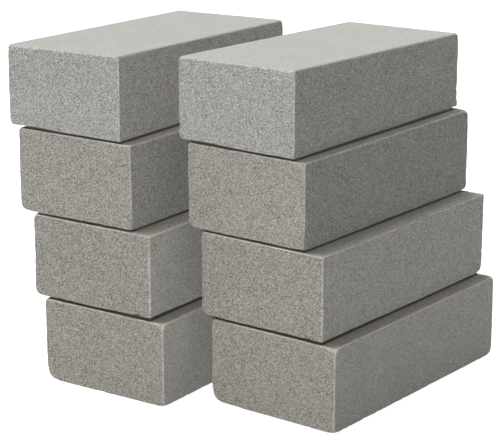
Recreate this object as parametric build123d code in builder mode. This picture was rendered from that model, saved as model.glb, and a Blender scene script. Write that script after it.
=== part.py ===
"""Eight loose bricks of dry floral foam, standing in two leaning stacks of four.

Every brick is a plain block of rigid foam with softly rounded edges, as sawn from a slab. The
bricks of one stack differ a little in width, and the top one's upper face falls slightly to
the back and to the left. In each stack the bricks lie flat on each other with their end faces
nearly in line, and each brick sits a little to the left of the one below it.

Millimetres. +Z is up, the bricks' long side runs front to back along Y, the end faces look
to the front along -Y, and the origin is the middle of the whole group's footprint, on the
surface it stands on.
"""

import os
from math import cos, radians, sin

from build123d import *

# Every brick
BRICK_LENGTH = 230.0
BRICK_HEIGHT = 68.0
UPRIGHT_EDGE_ROUND = 3.0
FLAT_EDGE_ROUND = 2.0

# How wide the brick of each level is, from the surface up.
BRICK_WIDTHS = {"bottom": 118.0, "second": 116.0, "third": 112.0, "top": 110.0}

# The top brick's upper face is lower than its front right corner by this much.
TOP_FALL_LEFT = 2.0
TOP_FALL_BACK = 5.5

# Bricks that lie on each other keep a hair of air between their faces.
SEAT_GAP = 0.3

# Where each brick's front right corner is in its stack: its shift to the left of the bottom
# brick's corner, its shift to the back, and the brick's turn about Z in degrees.
LEVELS = {
    "bottom": (0.0, 0.0, 0.0),
    "second": (13.0, 1.5, 0.0),
    "third": (31.0, 3.0, 0.0),
    "top": (41.0, 3.0, 0.4),
}

# The stacks, each given by its bottom brick's front right corner: X, Y and the whole stack's
# turn about Z.
STACKS = {
    "right": (0.0, 0.0, 0.0),
    "left": (-137.5, -35.0, 3.3),
}


def brick_place(stack, level):
    """X, Y and turn of a brick's front right corner, from that of the right stack's bottom brick."""
    stack_x, stack_y, stack_turn = STACKS[stack]
    shift_left, shift_back, turn = LEVELS[level]
    swing = radians(stack_turn)
    x = stack_x - shift_left * cos(swing) - shift_back * sin(swing)
    y = stack_y - shift_left * sin(swing) + shift_back * cos(swing)
    return x, y, stack_turn + turn


def brick_point(stack, level, from_left, from_front):
    """X and Y of a point of a brick, given as distances from its left side and its front end."""
    x, y, turn = brick_place(stack, level)
    along_x, along_y = from_left - BRICK_WIDTHS[level], from_front
    swing = radians(turn)
    return (
        x + along_x * cos(swing) - along_y * sin(swing),
        y + along_x * sin(swing) + along_y * cos(swing),
    )


def footprint_middle():
    """X and Y of the middle of the box around every brick, whose upright edges are rounded."""
    rounding_centres = [
        brick_point(stack, level, from_left, from_front)
        for stack in STACKS
        for level in LEVELS
        for from_left in (UPRIGHT_EDGE_ROUND, BRICK_WIDTHS[level] - UPRIGHT_EDGE_ROUND)
        for from_front in (UPRIGHT_EDGE_ROUND, BRICK_LENGTH - UPRIGHT_EDGE_ROUND)
    ]
    places_x = [x for x, _ in rounding_centres]
    places_y = [y for _, y in rounding_centres]
    return (min(places_x) + max(places_x)) / 2, (min(places_y) + max(places_y)) / 2


def base_height(level):
    """Height of a level's underside above the surface."""
    return list(LEVELS).index(level) * (BRICK_HEIGHT + SEAT_GAP)


def make_brick(stack, level):
    """One foam brick, standing in its place in its stack."""
    middle_x, middle_y = footprint_middle()
    x, y, turn = brick_place(stack, level)
    width = BRICK_WIDTHS[level]
    corner = Plane(
        origin=(x - middle_x, y - middle_y, base_height(level)),
        x_dir=(cos(radians(turn)), sin(radians(turn)), 0),
        z_dir=(0, 0, 1),
    )
    with BuildPart() as brick:
        with BuildSketch(corner):
            Rectangle(width, BRICK_LENGTH, align=(Align.MAX, Align.MIN))
        extrude(amount=BRICK_HEIGHT)
        if level == "top":
            upper_front_right = corner.from_local_coords(Vector(0, 0, BRICK_HEIGHT))
            upper_front_left = corner.from_local_coords(Vector(-width, 0, BRICK_HEIGHT - TOP_FALL_LEFT))
            upper_back_right = corner.from_local_coords(
                Vector(0, BRICK_LENGTH, BRICK_HEIGHT - TOP_FALL_BACK)
            )
            leftwards = upper_front_left - upper_front_right
            backwards = upper_back_right - upper_front_right
            sawn_face = Plane(
                origin=upper_front_right,
                x_dir=leftwards,
                z_dir=backwards.cross(leftwards),
            )
            split(bisect_by=sawn_face, keep=Keep.BOTTOM)
        fillet(brick.edges().filter_by(Axis.Z), radius=UPRIGHT_EDGE_ROUND)
        rims = brick.faces().sort_by(Axis.Z)
        fillet(rims[0].edges() + rims[-1].edges(), radius=FLAT_EDGE_ROUND)
    return brick.part


os.makedirs("parts", exist_ok=True)
for stack_name in STACKS:
    for level_name in LEVELS:
        foam_brick = make_brick(stack_name, level_name)
        foam_brick.label = f"{stack_name}_stack_{level_name}_brick"
        export_step(foam_brick, f"parts/{foam_brick.label}.step")
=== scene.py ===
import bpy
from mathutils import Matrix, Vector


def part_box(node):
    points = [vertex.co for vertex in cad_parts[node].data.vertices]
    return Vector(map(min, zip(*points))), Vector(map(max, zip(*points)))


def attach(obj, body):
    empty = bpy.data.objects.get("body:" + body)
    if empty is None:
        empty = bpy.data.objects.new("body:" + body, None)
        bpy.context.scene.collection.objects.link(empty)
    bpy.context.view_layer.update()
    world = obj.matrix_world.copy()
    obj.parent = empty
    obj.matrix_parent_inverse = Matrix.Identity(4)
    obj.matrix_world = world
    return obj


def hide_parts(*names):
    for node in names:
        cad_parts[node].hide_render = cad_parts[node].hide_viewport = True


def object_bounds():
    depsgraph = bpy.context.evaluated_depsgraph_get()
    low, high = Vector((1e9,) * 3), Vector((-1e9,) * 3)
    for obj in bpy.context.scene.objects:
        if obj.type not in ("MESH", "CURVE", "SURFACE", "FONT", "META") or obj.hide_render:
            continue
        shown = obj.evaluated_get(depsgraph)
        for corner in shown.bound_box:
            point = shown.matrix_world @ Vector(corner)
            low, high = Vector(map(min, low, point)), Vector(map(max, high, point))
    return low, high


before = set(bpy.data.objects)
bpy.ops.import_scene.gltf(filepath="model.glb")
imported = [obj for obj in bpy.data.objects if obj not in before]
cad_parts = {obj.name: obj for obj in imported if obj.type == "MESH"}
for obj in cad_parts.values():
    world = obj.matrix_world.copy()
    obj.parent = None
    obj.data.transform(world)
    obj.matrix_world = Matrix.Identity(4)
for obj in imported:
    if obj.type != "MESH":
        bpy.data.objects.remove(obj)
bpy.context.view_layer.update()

import math

import bpy
import numpy as np
from mathutils import Vector

MM = 0.001
SIDE, FLAT = 0, 2  # the axes that a brick's side faces and its flat faces look along


# ---------------------------------------------------------------- noise


LOW_32_BITS = np.uint64(0xFFFFFFFF)
HALF_RANGE = 0x7FFFFFFF
AXIS_FACTORS = np.array([73856093, 19349663, 83492791], dtype=np.uint64)
SEED_FACTOR = 2654435761
MIXING_ROUNDS = ((15, 2246822519), (13, 3266489917))  # the shift and the factor of each round
LAST_SHIFT = 16


def lattice_value(cells, seed):
    """A repeatable value from -1 to 1 for each whole-numbered lattice cell."""
    scaled = cells.astype(np.int64).astype(np.uint64) * AXIS_FACTORS
    mixed = scaled.sum(axis=-1, dtype=np.uint64)
    mixed = (mixed + np.uint64(seed * SEED_FACTOR)) & LOW_32_BITS
    for shift, factor in MIXING_ROUNDS:
        mixed = ((mixed ^ (mixed >> np.uint64(shift))) * np.uint64(factor)) & LOW_32_BITS
    mixed = mixed ^ (mixed >> np.uint64(LAST_SHIFT))
    return mixed.astype(float) / HALF_RANGE - 1


def smooth_noise(points, cell, seed):
    """Smooth noise from -1 to 1, its lumps about one cell across."""
    place = points / cell
    low = np.floor(place)
    part = place - low
    part = part * part * (3 - 2 * part)
    total = np.zeros(len(points))
    for corner in np.ndindex(2, 2, 2):
        corner = np.array(corner)
        weight = np.where(corner == 1, part, 1 - part).prod(axis=1)
        total += weight * lattice_value(low + corner, seed)
    return total


def rising(value, start, end):
    """0 below start, 1 above end, and smooth between."""
    part = np.clip((value - start) / (end - start), 0, 1)
    return part * part * (3 - 2 * part)


# ---------------------------------------------------------------- brick mesh

FINE_STEP = 0.56 * MM
FINE_MARGIN = 5.6 * MM
COARSE_STEP = (0.88 * MM, 1.65 * MM, 0.88 * MM)  # along X, Y and Z: closest on the cut ends


def graded_steps(half, coarse_step):
    """Places from -half to half, close together near both ends where the edges are rounded."""
    fine_count = round(FINE_MARGIN / FINE_STEP)
    inner = half - FINE_MARGIN
    coarse_count = round(2 * inner / coarse_step)
    fine = np.linspace(inner, half, fine_count + 1)
    coarse = np.linspace(-inner, inner, coarse_count + 1)
    return np.concatenate([-fine[:0:-1], coarse, fine[1:]])


def box_shell(half):
    """Points and quads of a box's six faces, which share the points on their edges."""
    steps = [graded_steps(h, step) for h, step in zip(half, COARSE_STEP)]
    shape = tuple(len(s) for s in steps)
    place = np.indices(shape)
    last = np.array(shape).reshape(3, 1, 1, 1) - 1
    on_shell = ((place == 0) | (place == last)).any(axis=0)
    number = np.full(shape, -1)
    number[on_shell] = np.arange(on_shell.sum())
    points = np.stack([steps[axis][place[axis][on_shell]] for axis in range(3)], axis=1)
    quads = []
    for axis in range(3):
        for end in (0, -1):
            sheet = np.take(number, end, axis=axis)
            ring = [sheet[:-1, :-1], sheet[1:, :-1], sheet[1:, 1:], sheet[:-1, 1:]]
            faces_out = (end == -1) != (axis == 1)
            ring = ring if faces_out else ring[::-1]
            quads.append(np.stack([r.ravel() for r in ring], axis=1))
    return points, np.concatenate(quads)


UPRIGHT_ROUND = 1.8 * MM
UNDER_ROUND = 0.8 * MM
RIM_START, RIM_END = 3 * MM, 10 * MM  # how far from a rim the upright edges' rounding takes over
ROUND_CHANGE = 0.25  # of the rounding, either way
ROUND_CHANGE_SIZE = 14 * MM
CORNER_REACH = 1.2  # how far a corner's wear reaches, in its own roundness


def edge_radius(points, half, upper_round, corners, seed):
    """How round the nearest edge is at each point: uneven along it, larger at worn corners."""
    to_top, to_bottom = half[2] - points[:, 2], half[2] + points[:, 2]
    radius = np.where(to_top < to_bottom, upper_round * MM, UNDER_ROUND)
    away_from_rims = rising(np.minimum(to_top, to_bottom), RIM_START, RIM_END)
    radius = radius + (UPRIGHT_ROUND - radius) * away_from_rims
    radius = radius * (1 + ROUND_CHANGE * smooth_noise(points, ROUND_CHANGE_SIZE, seed))
    for corner, corner_round in corners.items():
        away = np.linalg.norm(points - half * np.array(corner), axis=1)
        near = np.exp(-((away / (CORNER_REACH * corner_round * MM)) ** 2))
        radius = radius + (corner_round * MM - radius) * near
    return radius[:, None]


def edge_distance(points, half):
    """Distance of each point of the shell from the nearest edge of its face."""
    gaps = np.sort(half - np.abs(points), axis=1)
    return gaps[:, 1]


WAVE_SIZE, WAVE_DEPTH = 60 * MM, 0.30 * MM
LUMP_SIZE, LUMP_DEPTH = 7 * MM, 0.06 * MM
PORE_SIZE = 1.7 * MM
SPECK_SIZE = 0.7 * MM
PORE_DEPTHS = (0.05, 0.07, 0.03)  # on the side, end and flat faces, in mm


def foam_relief(points, normal, seed):
    """Depth of the cut foam's surface below the ideal block: open cells, deepest on the ends."""
    slab_wave = WAVE_DEPTH * (1 + smooth_noise(points, WAVE_SIZE, seed + 1)) / 2
    lumps = LUMP_DEPTH * (1 + smooth_noise(points, LUMP_SIZE, seed + 2)) / 2
    pores = (1 + smooth_noise(points, PORE_SIZE, seed + 3)) / 2
    specks = (1 + lattice_value(np.round(points / SPECK_SIZE), seed + 4)) / 2
    depth = normal**2 @ np.array(PORE_DEPTHS) * MM
    return slab_wave + lumps + depth * (pores + specks)


CRUMBLE_REACH = 2.2 * MM
BREAK_SIZE, BREAK_DEPTH = 5 * MM, 0.45 * MM
CRUMB_SIZE, CRUMB_DEPTH = 2.1 * MM, 0.25 * MM
BREAK_START, CRUMB_START, FULL_DEPTH = 0.25, 0.1, 0.9  # noise values
BITE_ROUGHNESS = 0.35  # of a bite's depth
BITE_LUMP_SIZE = 3.2 * MM


def edge_crumble(points, half, upper_wear_and_highlight, bites, seed):
    """Depth of the small breaks and crumbs along the edges, and of each larger bite."""
    near_edge = np.exp(-((edge_distance(points, half) / CRUMBLE_REACH) ** 2))
    small_noise = smooth_noise(points, BREAK_SIZE, seed + 5)
    tiny_noise = smooth_noise(points, CRUMB_SIZE, seed + 6)
    small = rising(small_noise, BREAK_START, FULL_DEPTH) * BREAK_DEPTH
    tiny = rising(tiny_noise, CRUMB_START, FULL_DEPTH) * CRUMB_DEPTH
    depth = near_edge * (small + tiny) * np.where(points[:, 2] > 0, upper_wear_and_highlight, 1)
    for place, reach, bite_depth in bites:
        away = (points - half * np.array(place)) / (np.array(reach) * MM)
        inside = np.exp(-(away**2).sum(axis=1))
        lumps = smooth_noise(points, BITE_LUMP_SIZE, seed + 7)
        rough = 1 - BITE_ROUGHNESS + BITE_ROUGHNESS * lumps
        depth += inside * rough * bite_depth * MM
    return depth


UNDERSIDE_REACH = 9 * MM
UNDERSIDE_CHANGE = 0.35  # of the lift, either way
UNDERSIDE_CHANGE_SIZE = 22 * MM


def underside_lift(points, half, underside_wear, gaps, seed):
    """How far the lower edges are worn up from the brick below, and more at each gap."""
    change = UNDERSIDE_CHANGE * smooth_noise(points, UNDERSIDE_CHANGE_SIZE, seed + 8)
    lift = underside_wear * MM * (1 + change)
    for place, reach, height in gaps:
        away = (points - half * np.array(place)) / (np.array(reach) * MM)
        lift += np.exp(-(away**2).sum(axis=1)) * height * MM
    inwards = (half - np.abs(points))[:, :2].min(axis=1)
    above = points[:, 2] + half[2]
    near_outside = 1 - rising(inwards, 0, UNDERSIDE_REACH)
    near_underside = 1 - rising(above, 0, 2 * UNDERSIDE_REACH)
    return lift * near_outside * near_underside


def turn_matrix(turn):
    """Turns row vectors by -turn about Z; its transpose turns them back."""
    c, s = math.cos(turn), math.sin(turn)
    return np.array([[c, -s, 0], [s, c, 0], [0, 0, 1]])


FACING = 0.9  # the part of a normal along an axis, from which a face looks that way


def largest_face(mesh, axis):
    """The largest face of a mesh that looks along an axis."""
    faces = [face for face in mesh.polygons if face.normal[axis] > FACING]
    return max(faces, key=lambda face: face.area)


def brick_frame(node):
    """Middle, turn about Z, half sizes and upper face's slopes of a CAD brick's mesh."""
    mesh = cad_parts[node].data
    side = largest_face(mesh, SIDE)
    upper = largest_face(mesh, FLAT)
    turn = math.atan2(side.normal.y, side.normal.x)
    low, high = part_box(node)
    middle = np.array((low + high) / 2)
    slopes = -np.array(upper.normal) / upper.normal.z
    upper_height = upper.center.z + slopes[:2] @ (middle - np.array(upper.center))[:2]
    middle[2] = (low.z + upper_height) / 2
    spread = np.array([tuple(v.co) for v in mesh.vertices]) - middle
    half = (spread @ turn_matrix(turn)).max(axis=0)
    half[2] = middle[2] - low.z
    return middle, turn, half, (slopes @ turn_matrix(turn))[:2]


def add_values(mesh, name, values):
    """Stores one number per point, for the material to read."""
    layer = mesh.attributes.new(name, "FLOAT", "POINT")
    layer.data.foreach_set("value", values.astype(np.float32))


SIDE_WARMTH = 0.4
SEAM_SHADE = 0.6  # how much darker the painted seam shade is at its darkest
SEAM_INSET = 1.5 * MM  # from the brick's ends
SEAM_SOFTNESS = 0.5 * MM
SEAM_FADE = (3 * MM, 7 * MM)


def painted_seam_shade(points, half, open_width):
    """Painted seam shade: 1 on a narrow line along the right side and both ends of what the brick
    above covers.
    """
    from_ends = half[1] - np.abs(points[:, 1]) - SEAM_INSET
    inside = np.minimum(half[0] - open_width - points[:, 0], from_ends)
    line = rising(inside, -SEAM_SOFTNESS, SEAM_SOFTNESS) * (1 - rising(inside, *SEAM_FADE))
    return line * (points[:, 2] > 0)


FULLY_PALE = 0.25  # how far below 1 a normal's largest part is where an edge is fully pale
UPWARDS = 0.1  # the least part of a normal along Z on the upper face and its edges


def foam_brick(name, node, wear, side_painted_light, seed):
    """The seen brick: worn edges and an open-celled surface, in its CAD brick's place."""
    middle, turn, half, slopes = brick_frame(node)
    points, quads = box_shell(half)
    radius = edge_radius(points, half, wear["upper_round"], wear["corners"], seed)
    core = np.clip(points, -(half - radius), half - radius)
    normal = points - core
    normal /= np.linalg.norm(normal, axis=1, keepdims=True)
    depth = foam_relief(points, normal, seed)
    depth += edge_crumble(points, half, wear["upper_wear_and_highlight"], wear["bites"], seed)
    shaped = core + normal * (radius - depth[:, None])
    shaped[:, 2] += underside_lift(points, half, wear["underside_wear"], wear["gaps"], seed)
    shaped[:, 2] += shaped[:, :2] @ slopes * (shaped[:, 2] + half[2]) / (2 * half[2])
    mesh = bpy.data.meshes.new(name)
    mesh.from_pydata(shaped @ turn_matrix(turn).T + middle, [], quads.tolist())
    mesh.polygons.foreach_set("use_smooth", np.ones(len(quads), dtype=bool))
    # pale edges: worn, and a painted highlight along the rims
    pale = rising(1 - np.abs(normal).max(axis=1), 0.0, FULLY_PALE)
    faces_up = normal[:, FLAT] > UPWARDS
    add_values(mesh, "edge_wear_and_highlight", pale * np.where(faces_up, wear["upper_wear_and_highlight"], 1.0))
    # tone: painted light on the end faces, lighter towards the top brick, and on the shaded flat
    # faces of the lower bricks
    tones = np.ones((len(points), 3)) * wear["tones"]
    # painted light on the left stack's sides
    tones[:, SIDE] *= side_painted_light
    # painted shade: the flat faces are darker along the seams under the brick above
    tones[:, FLAT] *= 1 - SEAM_SHADE * painted_seam_shade(points, half, wear["open_width"] * MM)
    add_values(mesh, "tone", (normal**2 * tones).sum(axis=1))
    add_values(mesh, "grain", normal**2 @ np.array(wear["grain"]))
    side_share = normal[:, SIDE] ** 2
    add_values(mesh, "warmth", wear["warmth"] + side_share * (SIDE_WARMTH - wear["warmth"]))
    piece = bpy.data.objects.new(name, mesh)
    bpy.context.scene.collection.objects.link(piece)
    return piece


# ---------------------------------------------------------------- foam material


def new_material(name):
    """An empty node material, with its nodes and links."""
    material = bpy.data.materials.new(name)
    material.use_nodes = True
    return material, material.node_tree.nodes, material.node_tree.links


CELL_SIZE = 0.36 * MM
PATTERN_TURN = (0.61, 0.37, 0.83)  # so that no face of a brick lies along the pattern
PITS_FROM, PIT_DARKNESS = 0.75, 0.7
CLOUD_SIZE, CLOUD_CHANGE = 28 * MM, 0.02
PALE_WEAR_AND_HIGHLIGHT = 0.4  # how much lighter an edge is: pale wear and a painted highlight
BUMP_DEPTH = 0.2 * MM
COOL_GREY = (161, 160, 156)
WARM_GREY = (163, 160, 151)


def srgb(levels):
    """A colour from its screen levels, from 0 to 255."""
    return tuple((level / 255) ** 2.2 for level in levels) + (1.0,)


def foam_material():
    """Dull grey foam: open cells, strongest where the grain value is high, and pale edges, worn
    and with a painted highlight.
    """
    material, nodes, links = new_material("dry_foam")
    shader = nodes["Principled BSDF"]
    shader.inputs["Roughness"].default_value = 0.95
    shader.inputs["Specular IOR Level"].default_value = 0.15

    where = nodes.new("ShaderNodeMapping")
    where.inputs["Rotation"].default_value = PATTERN_TURN
    links.new(nodes.new("ShaderNodeTexCoord").outputs["Object"], where.inputs["Vector"])

    def attribute(name):
        node = nodes.new("ShaderNodeAttribute")
        node.attribute_name = name
        return node.outputs["Fac"]

    def math_node(operation, *values):
        node = nodes.new("ShaderNodeMath")
        node.operation = operation
        for socket, value in zip(node.inputs, values):
            if isinstance(value, (int, float)):
                socket.default_value = value
            else:
                links.new(value, socket)
        return node.outputs[0]

    def ramp(value, low, high, out_low, out_high):
        node = nodes.new("ShaderNodeMapRange")
        node.interpolation_type = "SMOOTHSTEP"
        for socket, number in zip(list(node.inputs)[1:5], (low, high, out_low, out_high)):
            socket.default_value = number
        links.new(value, node.inputs["Value"])
        return node.outputs["Result"]

    def noise(size, detail):
        node = nodes.new("ShaderNodeTexNoise")
        node.inputs["Scale"].default_value = 1 / size
        node.inputs["Detail"].default_value = detail
        node.inputs["Roughness"].default_value = 0.6
        links.new(where.outputs[0], node.inputs["Vector"])
        return node.outputs["Fac"]

    cells = nodes.new("ShaderNodeTexVoronoi")
    cells.inputs["Scale"].default_value = 1 / CELL_SIZE
    links.new(where.outputs[0], cells.inputs["Vector"])
    cell_value = nodes.new("ShaderNodeSeparateColor")
    links.new(cells.outputs["Color"], cell_value.inputs[0])

    pattern = ramp(cell_value.outputs[0], 0.0, 1.0, -1.0, 1.0)
    pits = ramp(cell_value.outputs[1], PITS_FROM, 1.0, 0.0, 1.0)
    cloud = ramp(noise(CLOUD_SIZE, 3.0), 0.3, 0.7, -1.0, 1.0)
    speckle = math_node("MULTIPLY_ADD", pits, -PIT_DARKNESS, pattern)
    shade = math_node("MULTIPLY_ADD", speckle, attribute("grain"), 1.0)
    shade = math_node("MULTIPLY_ADD", cloud, CLOUD_CHANGE, shade)
    # pale edges: wear and a painted highlight
    shade = math_node("MULTIPLY_ADD", attribute("edge_wear_and_highlight"), PALE_WEAR_AND_HIGHLIGHT, shade)
    shade = math_node("MULTIPLY", shade, attribute("tone"))

    base = nodes.new("ShaderNodeMix")
    base.data_type = "RGBA"
    colours = [socket for socket in base.inputs if socket.type == "RGBA"]
    colours[0].default_value = srgb(COOL_GREY)
    colours[1].default_value = srgb(WARM_GREY)
    links.new(attribute("warmth"), base.inputs[0])
    scaled = nodes.new("ShaderNodeVectorMath")
    scaled.operation = "SCALE"
    links.new(next(out for out in base.outputs if out.type == "RGBA"), scaled.inputs[0])
    links.new(shade, scaled.inputs["Scale"])
    links.new(scaled.outputs[0], shader.inputs["Base Color"])

    bump = nodes.new("ShaderNodeBump")
    bump.inputs["Distance"].default_value = BUMP_DEPTH
    links.new(speckle, bump.inputs["Height"])
    links.new(attribute("grain"), bump.inputs["Strength"])
    links.new(bump.outputs["Normal"], shader.inputs["Normal"])
    return material


# ---------------------------------------------------------------- the eight bricks

# What wear and handling left on the brick of each level, with its looks and painted light. Lengths
# are in mm.
# open_width      how much of the upper face, from its right edge, no brick lies on; the top
#                 brick's is more than its width, because nothing lies on it
# upper_round     roundness of the upper edges
# upper_wear_and_highlight      how crumbled the upper edges are and how pale: wear with a painted highlight, where 1 is as much as the others
# corners         roundness of single corners, by the signs of X, Y and Z
# bites           place from -1 to 1 along each half size, reach along X, Y and Z, and depth
# underside_wear  how far the lower edges are worn up
# gaps            place and reach as in a bite, and how much further up
# tones           how light the side, end and flat faces are; painted light makes the ends lighter towards the top brick and the shaded flat faces of the lower bricks lighter
# grain           how strong their pattern is
# warmth          from 0, the cool grey, to 1, the warm one, on the end and flat faces
FRONT_LEFT_LOW = (-1, -1, -1)
FRONT_LEFT_HIGH = (-1, -1, 1)
FRONT_RIGHT_LOW = (1, -1, -1)
FRONT_RIGHT_HIGH = (1, -1, 1)
BACK_RIGHT_LOW = (1, 1, -1)
BACK_RIGHT_HIGH = (1, 1, 1)
WEAR = {
    "top": {
        "open_width": 120,
        "upper_round": 2.4,
        "upper_wear_and_highlight": 0.2,
        "corners": {FRONT_LEFT_LOW: 3.2, FRONT_LEFT_HIGH: 3.0, BACK_RIGHT_HIGH: 3.5},
        "bites": [],
        "underside_wear": 1.1,
        "gaps": [((-0.5, -1, -1), (20, 12, 30), 1.1)],
        "tones": (0.96, 1.10, 0.98),
        "grain": (0.62, 0.70, 0.20),
        "warmth": 0.1,
    },
    "third": {
        "open_width": 10,
        "upper_round": 1.5,
        "upper_wear_and_highlight": 1.0,
        "corners": {
            FRONT_LEFT_LOW: 4.5,
            FRONT_LEFT_HIGH: 2.8,
            BACK_RIGHT_HIGH: 4.2,
            BACK_RIGHT_LOW: 3.0,
        },
        "bites": [((1, -1, -0.85), (4, 4, 8), 2.2)],
        "underside_wear": 0.85,
        "gaps": [],
        "tones": (0.86, 0.98, 1.35),
        "grain": (0.64, 0.76, 0.5),
        "warmth": 0.7,
    },
    "second": {
        "open_width": 18,
        "upper_round": 1.5,
        "upper_wear_and_highlight": 1.0,
        "corners": {FRONT_LEFT_LOW: 3.8, FRONT_LEFT_HIGH: 3.5, BACK_RIGHT_LOW: 5.0},
        "bites": [
            ((0.76, -1, -1), (2.2, 4, 1.6), 1.6),
            ((1, -0.5, 1), (4, 6, 4), 1.8),
            ((1, -0.3, 1), (3, 5, 3), 1.4),
            ((1, -0.05, 1), (5, 9, 5), 2.6),
            ((1, 0.15, 1), (4, 6, 4), 1.6),
            ((1, 0.35, 1), (6, 10, 5), 2.8),
            ((1, 0.6, 1), (4, 8, 4), 1.8),
        ],
        "underside_wear": 1.0,
        "gaps": [((1, -1, -1), (45, 60, 30), 0.7)],
        "tones": (1.07, 0.94, 1.2),
        "grain": (0.56, 0.80, 0.55),
        "warmth": 0.7,
    },
    "bottom": {
        "open_width": 13,
        "upper_round": 1.5,
        "upper_wear_and_highlight": 1.0,
        "corners": {
            FRONT_LEFT_LOW: 7.0,
            FRONT_LEFT_HIGH: 3.0,
            FRONT_RIGHT_HIGH: 5.0,
            FRONT_RIGHT_LOW: 3.5,
            BACK_RIGHT_HIGH: 3.5,
            BACK_RIGHT_LOW: 4.5,
        },
        "bites": [],
        "underside_wear": 0.1,
        "gaps": [],
        "tones": (1.03, 0.92, 1.02),
        "grain": (0.44, 0.74, 0.5),
        "warmth": 1.0,
    },
}

# Painted light: the left stack's sides are painted lighter, to make up for the shade the right
# stack casts on them.
SIDE_PAINTED_LIGHT = {"left": 1.17, "right": 1.0}

SEED_STEP = 10  # more than the noises of one brick

foam = foam_material()
seed = 0
for stack, side_painted_light in SIDE_PAINTED_LIGHT.items():
    for level, wear in WEAR.items():
        node = f"{stack}_stack_{level}_brick"
        seed += SEED_STEP
        brick = foam_brick(f"{stack}_{level}_foam", node, wear, side_painted_light, seed)
        brick.data.materials.append(foam)
        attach(brick, f"{stack}_{level}_brick")
        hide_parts(node)


# ---------------------------------------------------------------- studio

low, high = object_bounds()
middle = (low + high) / 2


FLOOR_RADIUS = 12.0
RIM_POINTS = 96
FLOOR_GLOW = 0.94


def disc(name, radius, height):
    """A flat round sheet, level at a height."""
    mesh = bpy.data.meshes.new(name)
    angles = np.linspace(0, math.tau, RIM_POINTS, endpoint=False)
    rim = [(radius * math.cos(a), radius * math.sin(a), height) for a in angles]
    mesh.from_pydata(rim, [], [list(range(len(rim)))])
    piece = bpy.data.objects.new(name, mesh)
    bpy.context.scene.collection.objects.link(piece)
    return piece


def floor_material():
    """Pale floor, shown to the camera nearly white and only faintly shaded."""
    material, nodes, links = new_material("pale_floor")
    shader = nodes["Principled BSDF"]
    shader.inputs["Base Color"].default_value = (0.3, 0.3, 0.3, 1)
    shader.inputs["Roughness"].default_value = 1.0
    shader.inputs["Specular IOR Level"].default_value = 0.0
    shader.inputs["Emission Color"].default_value = (1, 1, 1, 1)
    path = nodes.new("ShaderNodeLightPath")
    glow = nodes.new("ShaderNodeMath")
    glow.operation = "MULTIPLY"
    glow.inputs[1].default_value = FLOOR_GLOW
    links.new(path.outputs["Is Camera Ray"], glow.inputs[0])
    links.new(glow.outputs[0], shader.inputs["Emission Strength"])
    return material


floor = disc("floor", FLOOR_RADIUS, low.z)
floor.data.materials.append(floor_material())


def direction(azimuth, elevation):
    """From the object outwards; azimuth 0 is the front, -Y, and 90 is the right, +X."""
    a, e = math.radians(azimuth), math.radians(elevation)
    return Vector((math.sin(a) * math.cos(e), -math.cos(a) * math.cos(e), math.sin(e)))


def soft_light(name, azimuth, elevation, strength, spread):
    """A large far light: spread is how wide it looks from the object, in degrees."""
    light = bpy.data.lights.new(name, "SUN")
    light.energy = strength * math.pi
    light.angle = math.radians(spread)
    lamp = bpy.data.objects.new(name, light)
    bpy.context.scene.collection.objects.link(lamp)
    lamp.rotation_mode = "QUATERNION"
    lamp.rotation_quaternion = direction(azimuth, elevation).to_track_quat("Z", "Y")


soft_light("key_light", azimuth=-95, elevation=65, strength=1.25, spread=40)
soft_light("fill_light", azimuth=37.5, elevation=11, strength=0.58, spread=5)
soft_light("front_light", azimuth=-15, elevation=3, strength=0.395, spread=30)
soft_light("back_light", azimuth=190, elevation=10, strength=0.5, spread=30)


def white_surround(light_level):
    """Plain white behind everything, which lights the bricks at a lower level."""
    world = bpy.data.worlds.new("studio")
    bpy.context.scene.world = world
    world.use_nodes = True
    nodes, links = world.node_tree.nodes, world.node_tree.links
    back = nodes["Background"]
    back.inputs["Color"].default_value = (1, 1, 1, 1)
    back.inputs["Strength"].default_value = light_level
    seen = nodes.new("ShaderNodeBackground")
    seen.inputs["Color"].default_value = (1, 1, 1, 1)
    path = nodes.new("ShaderNodeLightPath")
    mix = nodes.new("ShaderNodeMixShader")
    links.new(path.outputs["Is Camera Ray"], mix.inputs[0])
    links.new(back.outputs[0], mix.inputs[1])
    links.new(seen.outputs[0], mix.inputs[2])
    links.new(mix.outputs[0], nodes["World Output"].inputs["Surface"])


white_surround(light_level=0.15)


AIM_OFFSET = Vector((-0.0026, -0.0007, -0.0163))  # from the middle of the bricks


def camera(azimuth, elevation, distance, lens, aim):
    """A camera that looks at a point from a distance."""
    data = bpy.data.cameras.new("camera")
    data.lens = lens
    eye = bpy.data.objects.new("camera", data)
    bpy.context.scene.collection.objects.link(eye)
    out = direction(azimuth, elevation)
    eye.location = aim + out * distance
    eye.rotation_mode = "QUATERNION"
    eye.rotation_quaternion = out.to_track_quat("Z", "Y")
    bpy.context.scene.camera = eye


camera(azimuth=37.6, elevation=15.8, distance=1.6, lens=141.8, aim=middle + AIM_OFFSET)
bpy.context.scene.view_settings.view_transform = "Standard"
